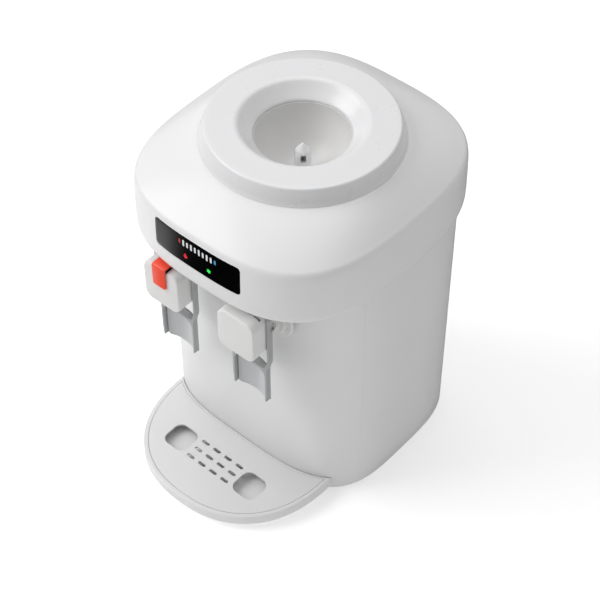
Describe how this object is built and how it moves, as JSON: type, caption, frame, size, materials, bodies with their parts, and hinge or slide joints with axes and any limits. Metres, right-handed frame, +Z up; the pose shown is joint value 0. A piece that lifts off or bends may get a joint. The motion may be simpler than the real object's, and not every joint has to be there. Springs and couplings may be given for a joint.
{
  "type": "countertop water dispenser",
  "caption": "Countertop hot and cold water dispenser with a ring seat for an upturned bottle, two cup-pushed lever taps and a removable drip tray.",
  "frame": {"origin": "middle of the footprint, on the table", "axes": "+Z up, the front with its taps and tray faces -Y, +X to the right seen from the front, the side of the cold tap"},
  "size_m": [0.263, 0.334, 0.385],
  "materials": {
    "shell_white": "satin moulded",
    "tap_white": "satin moulded",
    "lever_grey": "fine satin",
    "paddle_grey": "fine satin",
    "catch_red": "satin",
    "display_black": "high gloss",
    "rubber_black": "matte",
    "silicone": "satin",
    "steel": "brushed",
    "aluminium": "satin",
    "ceramic_white": "matte",
    "foam": "matte",
    "heater_brass": "satin",
    "black_plastic": "satin",
    "board_green": "satin",
    "transformer_yellow": "satin",
    "rocker_red": "gloss",
    "rocker_green": "gloss",
    "led_red": "lit indicator",
    "led_green": "lit indicator"
  },
  "bodies": {
    "dispenser": {"base_pan": "shell_white", "foot_pads": "rubber_black", "front_panel": "shell_white", "side_panels": "shell_white", "rear_panel": "shell_white", "rear_screws": "steel", "top_housing": "shell_white", "display_lens": "display_black", "indicator_board": "board_green", "heating_led": "led_red", "cooling_led": "led_green", "cold_tank": "steel", "tank_baffle": "paddle_grey", "tank_foam": "foam", "cold_plate": "aluminium", "cooling_chip": "ceramic_white", "heat_sink": "aluminium", "fan_frame": "black_plastic", "hot_tank": "steel", "band_heater": "heater_brass", "thermostats": "black_plastic", "hot_tank_bracket": "steel", "feed_hose": "silicone", "hot_hose": "silicone", "cold_hose": "silicone", "drain_pipe": "paddle_grey", "power_board": "board_green", "transformer": "transformer_yellow", "mains_inlet": "black_plastic", "switch_bezels": "black_plastic", "hot_tap_cover": "tap_white", "hot_tap_body": "tap_white", "hot_tap_cap": "tap_white", "hot_tap_nut": "tap_white", "hot_tap_spring": "steel", "hot_tap_pin": "steel", "catch_spring": "steel", "cold_tap_cover": "tap_white", "cold_tap_body": "tap_white", "cold_tap_cap": "tap_white", "cold_tap_nut": "tap_white", "cold_tap_spring": "steel", "cold_tap_pin": "steel"},
    "receiver": {"seat_ring": "shell_white", "receiver_bowl": "shell_white", "water_spike": "shell_white", "spike_seal": "rubber_black"},
    "fan": {"fan_rotor": "black_plastic"},
    "hot_lever": {"hot_lever": "lever_grey", "hot_paddle": "paddle_grey"},
    "hot_stem": {"hot_tap_stem": "paddle_grey"},
    "cold_lever": {"cold_lever": "lever_grey", "cold_paddle": "paddle_grey"},
    "cold_stem": {"cold_tap_stem": "paddle_grey"},
    "safety_catch": {"safety_catch": "catch_red"},
    "heating_rocker": {"heating_rocker": "rocker_red"},
    "cooling_rocker": {"cooling_rocker": "rocker_green"},
    "drain_cap": {"drain_cap": "paddle_grey"},
    "drip_tray": {"drip_tray": "shell_white"},
    "drip_grille": {"drip_grille": "shell_white"}
  },
  "joints": [
    {"name": "receiver_lift", "type": "slide", "parent": "dispenser", "child": "receiver", "axis": [0, 0, 1], "range_m": [0, 0.09]},
    {"name": "fan_spin", "type": "hinge", "parent": "dispenser", "child": "fan", "pos_m": [0, 0.12, 0.222], "axis": [0, 1, 0], "continuous": true},
    {"name": "hot_lever_push", "type": "hinge", "parent": "dispenser", "child": "hot_lever", "pos_m": [-0.046, -0.0999, 0.262], "axis": [1, 0, 0], "range_deg": [0, 12], "stiffness_Nm_per_rad": 0.5, "springref_deg": -17.19},
    {"name": "hot_stem_lift", "type": "slide", "parent": "dispenser", "child": "hot_stem", "axis": [0, 0, 1], "range_m": [0, 0.0025], "deforming": ["hot_tap_spring"]},
    {"name": "cold_lever_push", "type": "hinge", "parent": "dispenser", "child": "cold_lever", "pos_m": [0.046, -0.0999, 0.262], "axis": [1, 0, 0], "range_deg": [0, 12], "stiffness_Nm_per_rad": 0.5, "springref_deg": -17.19},
    {"name": "cold_stem_lift", "type": "slide", "parent": "dispenser", "child": "cold_stem", "axis": [0, 0, 1], "range_m": [0, 0.0025], "deforming": ["cold_tap_spring"]},
    {"name": "safety_catch_press", "type": "slide", "parent": "dispenser", "child": "safety_catch", "axis": [0, 0, -1], "range_m": [0, 0.004], "stiffness_N_per_m": 250, "springref_m": -0.006, "deforming": ["catch_spring"]},
    {"name": "heating_rocker_tilt", "type": "hinge", "parent": "dispenser", "child": "heating_rocker", "pos_m": [-0.022, 0.1295, 0.062], "axis": [1, 0, 0], "range_deg": [0, 20]},
    {"name": "cooling_rocker_tilt", "type": "hinge", "parent": "dispenser", "child": "cooling_rocker", "pos_m": [0.008, 0.1295, 0.062], "axis": [1, 0, 0], "range_deg": [0, 20]},
    {"name": "drain_cap_off", "type": "slide", "parent": "dispenser", "child": "drain_cap", "axis": [0, 1, 0], "range_m": [0, 0.03]},
    {"name": "drip_tray_pull", "type": "slide", "parent": "dispenser", "child": "drip_tray", "axis": [0, -1, 0], "range_m": [0, 0.12]},
    {"name": "drip_grille_lift", "type": "slide", "parent": "drip_tray", "child": "drip_grille", "axis": [0, 0, 1], "range_m": [0, 0.06]}
  ],
  "couplings": [
    {"joint": "hot_stem_lift", "follows": "hot_lever_push", "m_per_rad": 0.0114},
    {"joint": "cold_stem_lift", "follows": "cold_lever_push", "m_per_rad": 0.0114}
  ]
}
